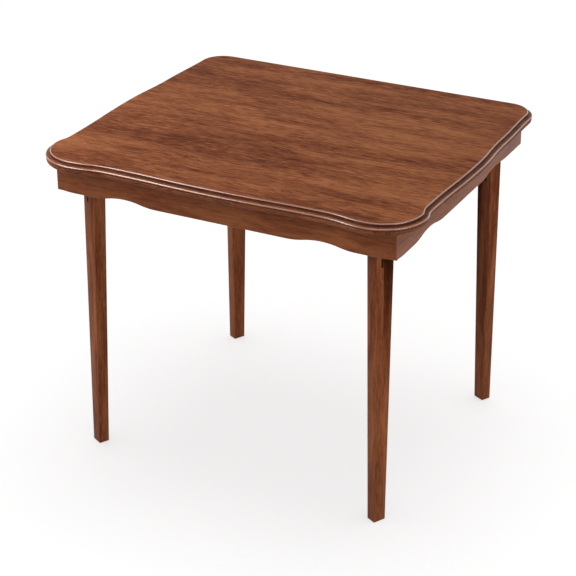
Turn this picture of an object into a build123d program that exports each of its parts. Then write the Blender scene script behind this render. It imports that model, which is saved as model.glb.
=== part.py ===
from build123d import *
import math
import os

# Folding card table with a moulded board, a scalloped apron and four legs that fold under it.
# Frame: X to the right along the front, Y to the back, Z up, floor at zero,
# origin on the floor under the middle of the board. Millimetres.

# Board
board_width = 871.0
board_depth = 774.0
table_height = 724.5
board_thickness = 18.5
front_corner_radius = 96.0
back_corner_radius = 63.0
front_dip_place = 190.0
front_dip_depth = 10.5
front_middle_depth = 4.0
side_front_dip_place = 138.0
side_back_dip_place = 232.0
side_dip_depth = 7.5
side_middle_depth = 0.5
back_crest_depth = 12.0

# Moulded edge of the board, thicker than its middle: in from the outline and down from the upper face
edge_band = 14.0
edge_thickness = 24.0
arris_radius = 2.0
arris_inset = 9.8
cove_top_drop = 2.2
cove_radius = 5.2
bead_inset = 2.0
bead_height = 5.2
quirk_inset = 2.4
quirk_height = 1.2
under_inset = 6.0
under_swell = 2.6

# Apron boards
apron_side_overhang = 40.5
apron_front_overhang = 45.0
apron_back_overhang = 36.0
apron_thickness = 18.0
apron_drop = 69.7
apron_front_end_rise = 2.0
apron_front_end_run = 42.0
apron_back_end_rise = 5.0
apron_back_end_run = 75.0
apron_arch_place = 165.0
apron_arch_half = 78.0
apron_arch_rise = 9.0
corner_block_leg = 26.0
corner_block_height = 46.0

# Legs, each in its own frame: U across the leg along its hinge pin, V to the inside, Z up.
# Each hinge pin's middle stands in from the apron's inner corner along X and Y.
leg_turn = 61.3
leg_lean = 1.0
leg_width = 46.6
leg_thickness = 29.1
leg_taper_near = 4.3
leg_taper_far = 12.9
leg_taper_inner = 5.1
leg_arris = 1.2
leg_square_drop = 31.0
leg_above_pin = 16.0
leg_insets = {
    "front_right": (41.5, 37.9),
    "back_right": (32.9, 45.5),
    "back_left": (66.0, 37.5),
    "front_left": (33.0, 47.0),
}

# Hinge of a leg
hinge_drop = 33.0
hinge_pin_radius = 4.0
hinge_head_radius = 6.5
hinge_head_height = 2.0
running_clearance = 0.05
side_clearance = 0.4
plate_thickness = 2.0
bracket_half_length = 18.0
bracket_bend_radius = 2.6
ear_radius = 10.0
ear_flare_drop = 5.0

# Saw kerf in the leg for the brace
kerf_width = 5.0
kerf_offset = 6.3
kerf_outer_drop = 79.0
kerf_inner_drop = 107.0
kerf_end_radius = 2.4

# Folding brace of two flat links
leg_pin_drop = 66.0
lug_inset = 34.0
lug_rise = 24.0
lower_link_length = 35.0
overcentre = 0.4
link_thickness = 2.0
link_gap = 0.4
link_half_width = 6.0
brace_pin_radius = 2.5
brace_head_radius = 3.8
brace_head_height = 1.2
leg_pin_far_inset = 6.0
leg_pin_near_grip = 8.0
pin_plug_inset = 1.0
lug_side_clearance = 0.3
lug_ear_radius = 7.0
lug_plate_before = 10.0
lug_plate_after = 12.0
lug_plate_reach = 18.0

# Fastenings
screw_shank_radius = 1.8
screw_head_radius = 3.4
plate_screw_length = 14.0
plate_screw_edge = 6.5
block_screw_length = 56.0
block_screw_inset_share = 0.32
dowel_radius = 4.0
dowel_length = 30.0
dowel_in_board = 11.0
dowel_place_shares = (-0.36, 0.0, 0.36)

# One overrun for every cut
overrun = 4.0

apron_width = board_width - 2 * apron_side_overhang
apron_depth = board_depth - apron_front_overhang - apron_back_overhang
apron_middle = (apron_front_overhang - apron_back_overhang) / 2
inner_x = apron_width / 2 - apron_thickness
inner_y = apron_depth / 2 - apron_thickness
corner_sides = {"front_right": (1, -1), "back_right": (1, 1), "back_left": (-1, 1), "front_left": (-1, -1)}
board_bottom = table_height - board_thickness
hinge_height = board_bottom - hinge_drop
lean_slope = math.tan(math.radians(leg_lean))

os.makedirs("parts", exist_ok=True)


def save(shape, node):
    """Write one node's solids to its STEP file."""
    export_step(shape, os.path.join("parts", node + ".step"))


def half_wave(start, end, direction):
    """Two tangent arcs from start to end, parallel to direction at both ends."""
    middle = (Vector(*start) + Vector(*end)) * 0.5
    first = TangentArc(Vector(*start), middle, tangent=Vector(*direction))
    second = TangentArc(middle, Vector(*end), tangent=first % 1)
    return [first, second]


# Board outline, anticlockwise from the middle of the straight back edge
half_width = board_width / 2
half_depth = board_depth / 2
front_crest = half_width - front_corner_radius
front_dip = half_width - front_dip_place
side_crest = front_corner_radius - half_depth
side_front_dip = side_front_dip_place - half_depth
side_back_dip = half_depth - side_back_dip_place
back_crest = half_width - back_crest_depth
back_crest_place = half_depth - back_corner_radius
back_flat = back_crest - back_corner_radius

left_side = [
    (-back_crest, back_crest_place),
    (side_dip_depth - half_width, side_back_dip),
    (side_middle_depth - half_width, apron_middle),
    (side_dip_depth - half_width, side_front_dip),
    (-half_width, side_crest),
]
front_side = [
    (-front_crest, -half_depth),
    (-front_dip, front_dip_depth - half_depth),
    (0, front_middle_depth - half_depth),
    (front_dip, front_dip_depth - half_depth),
    (front_crest, -half_depth),
]
right_side = [(-x, y) for x, y in reversed(left_side)]

outline_edges = [Line((0, half_depth), (-back_flat, half_depth))]
outline_edges.append(TangentArc((-back_flat, half_depth), left_side[0], tangent=(-1, 0)))
for start, end in zip(left_side, left_side[1:]):
    outline_edges += half_wave(start, end, (0, -1))
outline_edges.append(TangentArc(left_side[-1], front_side[0], tangent=(0, -1)))
for start, end in zip(front_side, front_side[1:]):
    outline_edges += half_wave(start, end, (1, 0))
outline_edges.append(TangentArc(front_side[-1], right_side[0], tangent=(1, 0)))
for start, end in zip(right_side, right_side[1:]):
    outline_edges += half_wave(start, end, (0, 1))
outline_edges.append(TangentArc(right_side[-1], (back_flat, half_depth), tangent=(0, 1)))
outline_edges.append(Line((back_flat, half_depth), (0, half_depth)))
outline = Wire(outline_edges)


def moulding_section():
    """Section of the board's edge: arris, cove, bead and the turned-under lower part."""
    arris_start = (-arris_inset - arris_radius, 0)
    arris_end = (-arris_inset, -arris_radius)
    cove_start = (-arris_inset, -cove_top_drop)
    cove_end = (cove_radius - arris_inset, -cove_top_drop - cove_radius)
    bead_start = (-bead_inset, cove_end[1])
    bead_middle = (0, cove_end[1] - bead_height / 2)
    bead_end = (-bead_inset, cove_end[1] - bead_height)
    quirk_drop = cove_top_drop + cove_radius + bead_height + quirk_height
    quirk = (-quirk_inset, -quirk_drop)
    under_end = (-under_inset, -edge_thickness)
    under_middle = (
        -(quirk_inset + under_inset) / 2 + under_swell,
        -(quirk_drop + edge_thickness) / 2 - under_swell / 2,
    )
    edges = [
        Line((-edge_band, 0), arris_start),
        TangentArc(arris_start, arris_end, tangent=(1, 0)),
        Line(arris_end, cove_start),
        TangentArc(cove_start, cove_end, tangent=(0, -1)),
        Line(cove_end, bead_start),
        ThreePointArc(bead_start, bead_middle, bead_end),
        Line(bead_end, quirk),
        ThreePointArc(quirk, under_middle, under_end),
        Line(under_end, (-edge_band, -edge_thickness)),
        Line((-edge_band, -edge_thickness), (-edge_band, 0)),
    ]
    return make_face(Wire(edges))


def screw(length):
    """Countersunk wood screw pointing up, its head's flat face at zero."""
    head_height = screw_head_radius - screw_shank_radius
    head = Cone(screw_head_radius, screw_shank_radius, head_height, align=(Align.CENTER, Align.CENTER, Align.MIN))
    shank = Cylinder(screw_shank_radius, length, align=(Align.CENTER, Align.CENTER, Align.MIN))
    return head + shank


def across_u(radius, start, end):
    """Round bar along U between two places."""
    bar = Cylinder(radius, end - start, align=(Align.CENTER, Align.CENTER, Align.MIN))
    return bar.moved(Location((start, 0, 0), (0, 90, 0)))


def plate_on_edge(face_sv, start, end):
    """Thicken a face drawn in V and Z along U between two places."""
    sketch = Plane(origin=(start, 0, 0), x_dir=(0, 1, 0), z_dir=(1, 0, 0)) * face_sv
    return extrude(sketch, end - start)


def link_plate(first, last, start, end, first_bore, last_bore):
    """Flat link with round ends between two pivots in V and Z, and its eyes."""
    run = Vector(*last) - Vector(*first)
    middle = (Vector(*last) + Vector(*first)) * 0.5
    turn = math.degrees(math.atan2(run.Y, run.X))
    body = SlotCenterToCenter(run.length, 2 * link_half_width)
    face = Pos(middle.X, middle.Y) * Rot(0, 0, turn) * body
    if first_bore:
        face -= Pos(*first) * Circle(first_bore)
    if last_bore:
        face -= Pos(*last) * Circle(last_bore)
    return plate_on_edge(face, start, end)


# One leg's pieces, in the leg's frame with its hinge pin at the origin
half_leg = leg_width / 2
half_thick = leg_thickness / 2


def leg_section(level, near_cut, far_cut, inner_cut):
    """Cross section of the leg at a level, its long edges eased."""
    shift = level * lean_slope
    left = near_cut - half_leg
    right = half_leg - far_cut
    outer = shift - half_thick
    inner = shift + half_thick - inner_cut
    corners = [
        (left + leg_arris, outer), (right - leg_arris, outer),
        (right, outer + leg_arris), (right, inner - leg_arris),
        (right - leg_arris, inner), (left + leg_arris, inner),
        (left, inner - leg_arris), (left, outer + leg_arris),
    ]
    return Pos(0, 0, level) * make_face(Polyline(*corners, close=True))


kerf_middle = -kerf_offset
kerf_start = kerf_middle - kerf_width / 2
kerf_end = kerf_middle + kerf_width / 2
upper_link_start = kerf_middle - link_gap / 2 - link_thickness
upper_link_end = kerf_middle - link_gap / 2
lower_link_start = kerf_middle + link_gap / 2
lower_link_end = kerf_middle + link_gap / 2 + link_thickness

lean = math.radians(leg_lean)
leg_pivot = (-leg_pin_drop * math.sin(lean), -leg_pin_drop * math.cos(lean))
lug_pivot = (lug_inset, lug_rise)
brace_run = Vector(*lug_pivot) - Vector(*leg_pivot)
brace_side = Vector(brace_run.Y, -brace_run.X).normalized()
along_brace = brace_run.normalized() * math.sqrt(lower_link_length ** 2 - overcentre ** 2)
knuckle_vector = Vector(*leg_pivot) + along_brace - brace_side * overcentre
knuckle = (knuckle_vector.X, knuckle_vector.Y)

leg_body = loft(
    [
        leg_section(-hinge_height, leg_taper_near, leg_taper_far, leg_taper_inner),
        leg_section(-leg_square_drop, 0, 0, 0),
        leg_section(leg_above_pin, 0, 0, 0),
    ],
    ruled=True,
)
kerf_reach = leg_thickness
kerf_slope = (kerf_inner_drop - kerf_outer_drop) / leg_thickness
kerf_outline = Polyline(
    (-kerf_reach, -kerf_outer_drop + kerf_slope * (kerf_reach - half_thick)),
    (kerf_reach, -kerf_inner_drop - kerf_slope * (kerf_reach - half_thick)),
    (kerf_reach, leg_above_pin + overrun),
    (-kerf_reach, leg_above_pin + overrun),
    close=True,
)
kerf_tool = plate_on_edge(make_face(kerf_outline), kerf_start, kerf_end)
kerf_floor = kerf_tool.faces().sort_by(Axis.Z)[0]
kerf_floor_edges = [e for e in kerf_floor.edges() if abs((e % 0.5).X) < 0.5]
kerf_tool = fillet(kerf_floor_edges, kerf_end_radius)
leg_body -= kerf_tool
leg_body -= across_u(hinge_pin_radius + running_clearance, -leg_width, leg_width)
leg_pin_start = kerf_start - leg_pin_near_grip
leg_pin_end = half_leg - leg_pin_far_inset
leg_pin_place = Location((0, leg_pivot[0], leg_pivot[1]))
leg_body -= across_u(brace_pin_radius, leg_pin_start, leg_width).moved(leg_pin_place)
leg_brace_pin = across_u(brace_pin_radius, leg_pin_start, leg_pin_end).moved(leg_pin_place)
pin_plug = across_u(brace_pin_radius, leg_pin_end, half_leg - pin_plug_inset).moved(leg_pin_place)

# Hinge bracket: a folded plate whose two ears stand beside the leg
ear_inner = half_leg + side_clearance
ear_outer = ear_inner + plate_thickness
plate_top = hinge_drop
plate_bottom = hinge_drop - plate_thickness
outer_u = Rectangle(2 * ear_outer, hinge_drop + ear_radius, align=(Align.CENTER, Align.MAX))
outer_u = fillet(outer_u.vertices().group_by(Axis.Y)[-1], bracket_bend_radius)
inner_u = Rectangle(2 * ear_inner, hinge_drop + ear_radius, align=(Align.CENTER, Align.MAX))
bent_section = outer_u - Pos(0, -plate_thickness) * inner_u
bent_plate = extrude(
    Plane(origin=(0, -bracket_half_length, plate_top), x_dir=(1, 0, 0), z_dir=(0, -1, 0)) * bent_section,
    -2 * bracket_half_length,
)
ear_shape = make_face(
    Polyline(
        (-bracket_half_length, plate_top),
        (bracket_half_length, plate_top),
        (bracket_half_length, plate_bottom - ear_flare_drop),
        (ear_radius, 0),
        (-ear_radius, 0),
        (-bracket_half_length, plate_bottom - ear_flare_drop),
        close=True,
    )
)
ear_shape += Circle(ear_radius)
hinge_bracket = bent_plate & plate_on_edge(ear_shape, -ear_outer, ear_outer)
hinge_bracket -= across_u(hinge_pin_radius, -leg_width, leg_width)

hinge_pin = across_u(hinge_pin_radius, -ear_outer, ear_outer)
hinge_pin += across_u(hinge_head_radius, -ear_outer - hinge_head_height, -ear_outer)
hinge_pin += across_u(hinge_head_radius, ear_outer, ear_outer + hinge_head_height)

bracket_screw_places = [
    (side * (ear_inner - plate_screw_edge), end * (bracket_half_length - plate_screw_edge))
    for side in (-1, 1)
    for end in (-1, 1)
]
bracket_screws = [Pos(u, v, plate_bottom) * screw(plate_screw_length) for u, v in bracket_screw_places]
for one in bracket_screws:
    hinge_bracket -= one

# Brace lug: a plate with two small ears beside the upper link
lug_near = upper_link_start - lug_side_clearance
lug_far = upper_link_end + lug_side_clearance
lug_middle = (lug_near + lug_far) / 2
lug_ear = make_face(
    Polyline(
        (lug_inset - lug_ear_radius, plate_top),
        (lug_inset + lug_ear_radius, plate_top),
        (lug_inset + lug_ear_radius, lug_rise),
        (lug_inset - lug_ear_radius, lug_rise),
        close=True,
    )
)
lug_ear += Pos(*lug_pivot) * Circle(lug_ear_radius)
lug_length = lug_plate_before + lug_plate_after
brace_lug = Box(
    2 * lug_plate_reach, lug_length, plate_thickness,
    align=(Align.CENTER, Align.MIN, Align.MAX),
).moved(Location((lug_middle, lug_inset - lug_plate_before, plate_top)))
brace_lug += plate_on_edge(lug_ear, lug_near - plate_thickness, lug_near)
brace_lug += plate_on_edge(lug_ear, lug_far, lug_far + plate_thickness)
lug_pin_place = Location((0, lug_pivot[0], lug_pivot[1]))
lug_pin_start = lug_near - plate_thickness
lug_pin_end = lug_far + plate_thickness
brace_lug -= across_u(brace_pin_radius, lug_pin_start - overrun, lug_pin_end + overrun).moved(lug_pin_place)
brace_lug_pin = across_u(brace_pin_radius, lug_pin_start, lug_pin_end)
brace_lug_pin += across_u(brace_head_radius, lug_pin_start - brace_head_height, lug_pin_start)
brace_lug_pin += across_u(brace_head_radius, lug_pin_end, lug_pin_end + brace_head_height)
brace_lug_pin = brace_lug_pin.moved(lug_pin_place)
lug_screw_level = lug_inset + (lug_plate_after - lug_plate_before) / 2
lug_screw_places = [
    (lug_middle - lug_plate_reach + plate_screw_edge, lug_screw_level),
    (lug_middle + lug_plate_reach - plate_screw_edge, lug_screw_level),
]
lug_screws = [Pos(u, v, plate_bottom) * screw(plate_screw_length) for u, v in lug_screw_places]
for one in lug_screws:
    brace_lug -= one

# Brace links and the rivet of their knuckle
link_bore = brace_pin_radius + running_clearance
upper_link = link_plate(lug_pivot, knuckle, upper_link_start, upper_link_end, link_bore, 0)
lower_link = link_plate(leg_pivot, knuckle, lower_link_start, lower_link_end, link_bore, brace_pin_radius)
knuckle_rivet = across_u(brace_pin_radius, lower_link_start, lower_link_end).moved(
    Location((0, knuckle[0], knuckle[1]))
)

# Where each leg stands: its frame turns a quarter from one corner to the next
leg_frames = {}
for index, (corner, (side_x, side_y)) in enumerate(corner_sides.items()):
    inset_x, inset_y = leg_insets[corner]
    place = (side_x * (inner_x - inset_x), apron_middle + side_y * (inner_y - inset_y), hinge_height)
    leg_frames[corner] = Location(place, (0, 0, leg_turn + 90 * index))

leg_pieces = {
    "leg": leg_body,
    "leg_brace_pin": leg_brace_pin,
    "pin_plug": pin_plug,
    "hinge_bracket": hinge_bracket,
    "hinge_pin": hinge_pin,
    "brace_lug": brace_lug,
    "brace_lug_pin": brace_lug_pin,
    "upper_brace_link": upper_link,
    "lower_brace_link": lower_link,
    "knuckle_rivet": knuckle_rivet,
}
all_bracket_screws = []
all_lug_screws = []
for corner, frame in leg_frames.items():
    for piece, shape in leg_pieces.items():
        save(shape.moved(frame), piece + "_" + corner)
    all_bracket_screws += [one.moved(frame) for one in bracket_screws]
    all_lug_screws += [one.moved(frame) for one in lug_screws]
save(Compound(children=all_bracket_screws), "hinge_bracket_screws")
save(Compound(children=all_lug_screws), "brace_lug_screws")


# Apron boards: mitred at the corners, the lower edge scalloped
def lower_run(start, end):
    """Straight run where two points are level, or else a half wave between them."""
    return [Line(start, end)] if start[1] == end[1] else half_wave(start, end, (1, 0))


def lower_half(length, end_rise, end_run, foot_rise):
    """Points of one half of an apron's lower edge, from its inner arch foot to its end."""
    half = length / 2
    low = -apron_drop
    arch = half - apron_arch_place
    return [
        (arch - apron_arch_half, low),
        (arch, low + apron_arch_rise),
        (arch + apron_arch_half, low + foot_rise),
        (half - end_run, low + foot_rise),
        (half, low + end_rise),
    ]


def apron_board(length, left_end, right_end):
    """Apron board along X, its outer face on the XZ plane and its upper edge at zero."""
    half = length / 2
    points = [(-x, z) for x, z in reversed(lower_half(length, *left_end))] + lower_half(length, *right_end)
    edges = []
    for start, end in zip(points, points[1:]):
        edges += lower_run(start, end)
    edges += [Line(points[-1], (half, 0)), Line((half, 0), (-half, 0)), Line((-half, 0), points[0])]
    board = extrude(Plane.XZ * make_face(Wire(edges)), -apron_thickness)
    plan = Polyline(
        (-half, 0), (half, 0),
        (half - apron_thickness, apron_thickness),
        (apron_thickness - half, apron_thickness),
        close=True,
    )
    mitred = extrude(make_face(plan), -apron_drop - overrun)
    return board & mitred


front_end = (apron_front_end_rise, apron_front_end_run, 0.0)
back_end = (apron_back_end_rise, apron_back_end_run, 0.0)
side_back_end = (apron_back_end_rise, apron_back_end_run, apron_back_end_rise)
apron_face_front = apron_middle - apron_depth / 2
apron_face_back = apron_middle + apron_depth / 2
apron_places = {
    "apron_front": (apron_width, front_end, front_end, Location((0, apron_face_front, board_bottom))),
    "apron_right": (
        apron_depth, front_end, side_back_end,
        Location((apron_width / 2, apron_middle, board_bottom), (0, 0, 90)),
    ),
    "apron_back": (apron_width, back_end, back_end, Location((0, apron_face_back, board_bottom), (0, 0, 180))),
    "apron_left": (
        apron_depth, side_back_end, front_end,
        Location((-apron_width / 2, apron_middle, board_bottom), (0, 0, 270)),
    ),
}
dowels = []
dowel_start = dowel_in_board - dowel_length
for node, (length, left_end, right_end, place) in apron_places.items():
    board = apron_board(length, left_end, right_end)
    for share in dowel_place_shares:
        dowel = Pos(share * length, apron_thickness / 2, dowel_start) * Cylinder(
            dowel_radius, dowel_length, align=(Align.CENTER, Align.CENTER, Align.MIN)
        )
        board -= dowel
        dowels.append(dowel.moved(place))
    save(board.moved(place), node)
save(Compound(children=dowels), "apron_dowels")

# Corner blocks inside the apron and the screws that hold them to the board
block_face = make_face(Polyline((0, 0), (-corner_block_leg, 0), (0, corner_block_leg), close=True))
block_plain = extrude(block_face, -corner_block_height)
block_screw_in = corner_block_leg * block_screw_inset_share
block_screw = Pos(-block_screw_in, block_screw_in, -corner_block_height) * screw(block_screw_length)
corner_block = block_plain - block_screw
block_screws = []
for index, (corner, (side_x, side_y)) in enumerate(corner_sides.items()):
    place = Location((side_x * inner_x, apron_middle + side_y * inner_y, board_bottom), (0, 0, 90 * index))
    save(corner_block.moved(place), "corner_block_" + corner)
    block_screws.append(block_screw.moved(place))
save(Compound(children=block_screws), "corner_block_screws")

# Board with its moulded edge and the holes for what is fastened into it
core_face = offset(make_face(outline), -edge_band)
core = extrude(Pos(0, 0, table_height) * core_face, -board_thickness)
edge_plane = Plane(origin=(0, half_depth, table_height), x_dir=(0, 1, 0), z_dir=(1, 0, 0))
edge_ring = sweep(edge_plane * moulding_section(), Pos(0, 0, table_height) * outline)
top_board = core + edge_ring
for fastening in all_bracket_screws + all_lug_screws + block_screws + dowels:
    top_board -= fastening
save(top_board, "top_panel")
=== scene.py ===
"""Folding card table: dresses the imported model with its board, aprons, legs, screws and finishes.

Sizes in the classes are millimetres, as a maker would write them, and every finished
piece is scaled to metres in its mesh. X runs right along the front edge, Y to the
straight back edge and Z up from the floor.
"""
import logging
import math
from dataclasses import dataclass, field
from enum import Enum

import bmesh
import bpy
from mathutils import Matrix, Vector


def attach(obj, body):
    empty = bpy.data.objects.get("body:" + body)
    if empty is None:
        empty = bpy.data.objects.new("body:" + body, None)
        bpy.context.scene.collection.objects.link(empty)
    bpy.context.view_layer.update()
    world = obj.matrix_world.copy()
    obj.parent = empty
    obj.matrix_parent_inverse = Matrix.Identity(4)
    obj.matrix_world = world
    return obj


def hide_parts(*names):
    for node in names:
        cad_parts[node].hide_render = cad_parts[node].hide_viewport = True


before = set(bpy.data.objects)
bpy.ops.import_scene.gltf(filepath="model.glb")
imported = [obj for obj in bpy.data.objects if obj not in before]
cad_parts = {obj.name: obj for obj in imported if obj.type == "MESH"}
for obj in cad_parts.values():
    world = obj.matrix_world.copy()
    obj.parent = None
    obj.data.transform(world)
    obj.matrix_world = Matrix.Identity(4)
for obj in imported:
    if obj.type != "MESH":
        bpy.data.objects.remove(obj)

LOG = logging.getLogger("card_table")
MM = 0.001

Colour = tuple[float, float, float]


class Corner(Enum):
    """Corners of the table, in the order in which the legs are turned."""

    FRONT_RIGHT = ("front_right", 1, -1)
    BACK_RIGHT = ("back_right", 1, 1)
    BACK_LEFT = ("back_left", -1, 1)
    FRONT_LEFT = ("front_left", -1, -1)

    @property
    def label(self) -> str:
        """Name of the corner as the nodes have it."""
        return self.value[0]

    @property
    def side(self) -> tuple[int, int]:
        """Signs of X and Y at the corner."""
        return self.value[1], self.value[2]

    @property
    def quarter(self) -> int:
        """Quarter turns from the front right corner."""
        return list(Corner).index(self)


class Grain(Enum):
    """Direction in which a piece's grain runs."""

    ALONG_X = (0.0, 0.0, 0.0)
    ALONG_Y = (0.0, 0.0, -math.pi / 2)
    ALONG_Z = (0.0, math.pi / 2, 0.0)


class Bench:
    """Adds and joins the nodes of one material or world."""

    def __init__(self, tree: bpy.types.NodeTree) -> None:
        """Clear the tree and keep it."""
        tree.nodes.clear()
        self.tree = tree

    def add(self, kind: str, **settings: object) -> bpy.types.Node:
        """Add a node.

        Args:
            kind: Blender's node type.
            settings: Attributes of the node, or input sockets by name with spaces as underscores.

        Returns:
            The new node.
        """
        node = self.tree.nodes.new(kind)
        for name, value in settings.items():
            if hasattr(node, name):
                setattr(node, name, value)
            else:
                node.inputs[name.replace("_", " ")].default_value = value
        return node

    def join(self, source: bpy.types.NodeSocket, target: bpy.types.NodeSocket) -> None:
        """Join an output to an input."""
        self.tree.links.new(source, target)

    def maths(self, operation: str, first: object, second: object = 0.0, clamp: bool = False) -> bpy.types.NodeSocket:
        """Add a Math node.

        Args:
            operation: Its operation.
            first: A socket or number.
            second: A socket or number.
            clamp: Whether the result stays between 0 and 1.

        Returns:
            Its output.
        """
        node = self.add("ShaderNodeMath", operation=operation, use_clamp=clamp)
        for socket, value in zip(node.inputs, (first, second)):
            if isinstance(value, (int, float)):
                socket.default_value = value
            else:
                self.join(value, socket)
        return node.outputs[0]

    def stretched(self, place: bpy.types.NodeSocket, scale: tuple[float, float, float], shift: float = 0.0) -> bpy.types.NodeSocket:
        """Stretch a pattern's coordinates.

        Args:
            place: Coordinates in metres with the grain along X.
            scale: Repeats for each metre along and across the grain.
            shift: Offset that keeps two patterns apart.

        Returns:
            The stretched coordinates.
        """
        node = self.add("ShaderNodeMapping")
        self.join(place, node.inputs["Vector"])
        node.inputs["Scale"].default_value = scale
        node.inputs["Location"].default_value = (shift, shift * 1.7, shift * 0.6)
        return node.outputs["Vector"]

    def noise(self, place: bpy.types.NodeSocket, detail: float, roughness: float) -> bpy.types.NodeSocket:
        """Add a noise on stretched coordinates.

        Args:
            place: The coordinates.
            detail: Octaves of the noise.
            roughness: Share that each octave keeps.

        Returns:
            Its value, about 0.5 in the mean.
        """
        node = self.add("ShaderNodeTexNoise", Scale=1.0, Detail=detail, Roughness=roughness)
        self.join(place, node.inputs["Vector"])
        return node.outputs["Fac"]

    def centred(self, value: bpy.types.NodeSocket, share: float) -> bpy.types.NodeSocket:
        """Scale a noise about its mean of 0.5, so that it adds and takes the same."""
        return self.maths("MULTIPLY", self.maths("SUBTRACT", value, 0.5), share)

    def ramp(self, value: bpy.types.NodeSocket, stops: tuple[tuple[float, Colour], ...]) -> bpy.types.NodeSocket:
        """Colour a value.

        Args:
            value: The value, from 0 to 1.
            stops: Places and linear colours.

        Returns:
            The colour.
        """
        node = self.add("ShaderNodeValToRGB")
        band = node.color_ramp
        while len(band.elements) < len(stops):
            band.elements.new(0.5)
        for element, (place, colour) in zip(band.elements, stops):
            element.position = place
            element.color = (*colour, 1.0)
        self.join(value, node.inputs["Fac"])
        return node.outputs["Color"]

    def blend(self, kind: str, share: object, below: bpy.types.NodeSocket, above: object) -> bpy.types.NodeSocket:
        """Mix two colours.

        Args:
            kind: Blend type.
            share: Socket or number for the second colour's share.
            below: First colour.
            above: Second colour, a socket or a colour.

        Returns:
            The mixed colour.
        """
        node = self.add("ShaderNodeMix", data_type="RGBA", blend_type=kind)
        if isinstance(share, (int, float)):
            node.inputs[0].default_value = share
        else:
            self.join(share, node.inputs[0])
        self.join(below, node.inputs[6])
        if isinstance(above, tuple):
            node.inputs[7].default_value = (*above, 1.0)
        else:
            self.join(above, node.inputs[7])
        return node.outputs[2]


def new_material(name: str) -> tuple[bpy.types.Material, Bench]:
    """Start a node material.

    Args:
        name: Its name.

    Returns:
        The material and the bench for its nodes.
    """
    material = bpy.data.materials.new(name)
    material.use_nodes = True
    return material, Bench(material.node_tree)


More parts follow.
